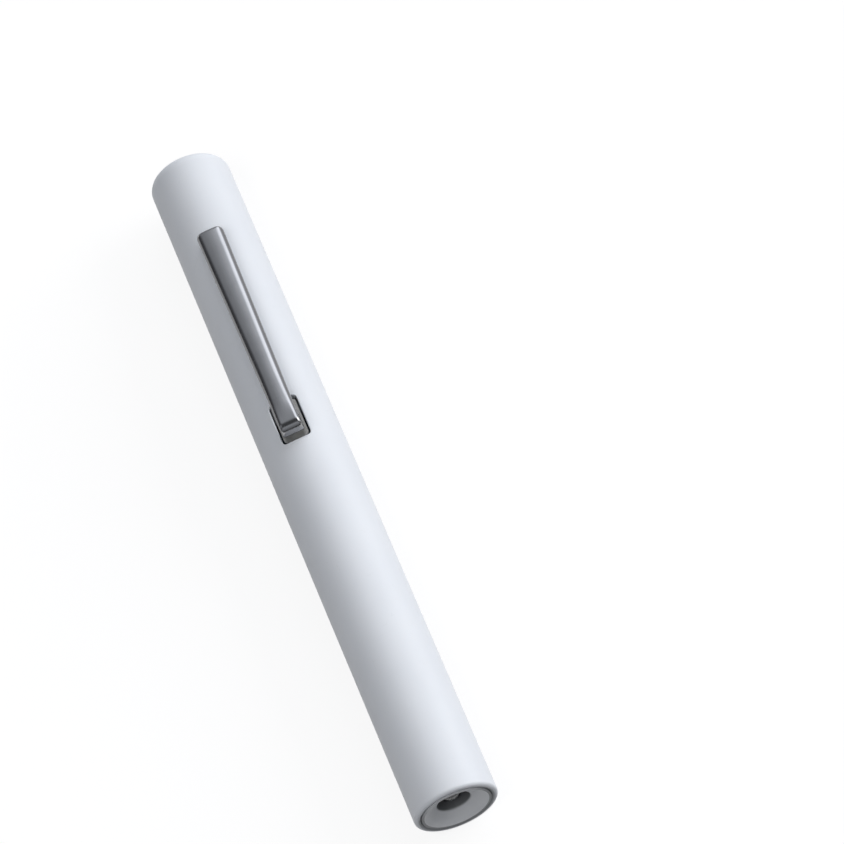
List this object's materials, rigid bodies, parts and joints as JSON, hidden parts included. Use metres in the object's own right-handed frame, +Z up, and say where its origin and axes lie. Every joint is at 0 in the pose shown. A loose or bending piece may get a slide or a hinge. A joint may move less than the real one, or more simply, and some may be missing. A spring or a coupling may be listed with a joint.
{
  "type": "penlight",
  "caption": "Slim white pocket penlight with a dished light mouth, a rounded tail with a metal contact, and a sprung metal pocket clip that is pressed to switch it on.",
  "frame": {"origin": "middle of the length, on the surface the barrel lies on", "axes": "+X along the barrel from tail to light mouth, +Z up through the clip"},
  "size_m": [0.1194, 0.013, 0.016],
  "materials": {
    "barrel_plastic": "satin white moulded plastic",
    "nose_plastic": "white moulded plastic",
    "clip_chrome": "bright plated spring steel",
    "strip_metal": "tinned brass strip",
    "cup_nickel": "bright nickel plate",
    "disc_copper": "dull copper",
    "spring_steel": "plated spring wire",
    "can_steel": "plated steel can",
    "jacket_film": "plain printed film",
    "seal_card": "pressed card washer",
    "button_nickel": "nickel plate",
    "bulb_glass": "clear glass",
    "bulb_brass": "pressed brass",
    "insulator_black": "black glass insulator",
    "solder": "solder",
    "lead_wire": "drawn wire",
    "bead_glass": "glass bead",
    "filament_wire": "coiled wire"
  },
  "bodies": {
    "housing": {"barrel": "barrel_plastic", "nose": "nose_plastic", "clip_link": "strip_metal", "contact_strip": "strip_metal", "tail_cup": "cup_nickel", "tail_disc": "disc_copper", "tail_spring": "spring_steel", "rear_cell_can": "can_steel", "rear_cell_jacket": "jacket_film", "rear_cell_seal": "seal_card", "rear_cell_button": "button_nickel", "rear_cell_plate": "button_nickel", "front_cell_can": "can_steel", "front_cell_jacket": "jacket_film", "front_cell_seal": "seal_card", "front_cell_button": "button_nickel", "front_cell_plate": "button_nickel", "bulb_glass": "bulb_glass", "bulb_shell": "bulb_brass", "bulb_insulator": "insulator_black", "bulb_tip": "solder", "bulb_lead_live": "lead_wire", "bulb_lead_return": "lead_wire", "bulb_bead": "bead_glass", "bulb_filament": "filament_wire"},
    "clip": {"pocket_clip": "clip_chrome"}
  },
  "joints": [
    {"name": "clip_press", "type": "hinge", "parent": "housing", "child": "clip", "pos_m": [-0.0425, 0, 0.0126], "axis": [0, -1, 0], "range_deg": [-1.1, 4.5], "stiffness_Nm_per_rad": 4}
  ]
}
